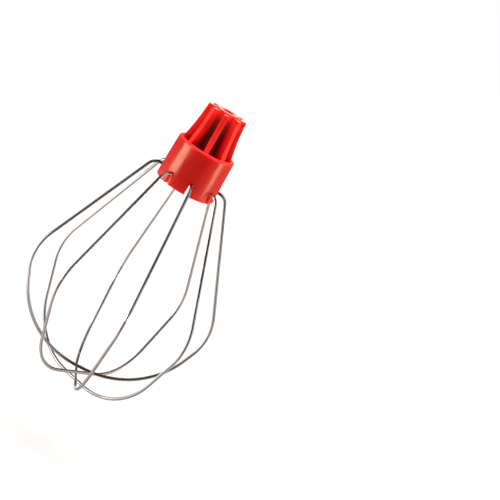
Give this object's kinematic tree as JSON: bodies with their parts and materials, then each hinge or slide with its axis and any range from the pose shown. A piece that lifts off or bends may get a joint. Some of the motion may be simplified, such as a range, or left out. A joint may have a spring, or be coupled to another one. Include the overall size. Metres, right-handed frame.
{
  "type": "stand mixer wire whisk",
  "caption": "Balloon whisk for a stand mixer: nested steel wire loops held in a red plastic hub whose fluted, bored drive end plugs into the mixer.",
  "frame": {"origin": "centre of the drive bore's mouth, at the end face of the hub's tube", "axes": "+Z along the whisk's axis and out of the drive bore; the wire balloon hangs towards -Z; the first wire loop lies in the XZ plane"},
  "size_m": [0.094, 0.0944, 0.1503],
  "materials": {
    "red_plastic": "semi-gloss moulded",
    "steel_wire": "bright drawn"
  },
  "bodies": {
    "root": {"drive_hub": "red_plastic", "wire_loop_1": "steel_wire", "wire_loop_2": "steel_wire", "wire_loop_3": "steel_wire", "wire_loop_4": "steel_wire"}
  },
  "joints": []
}
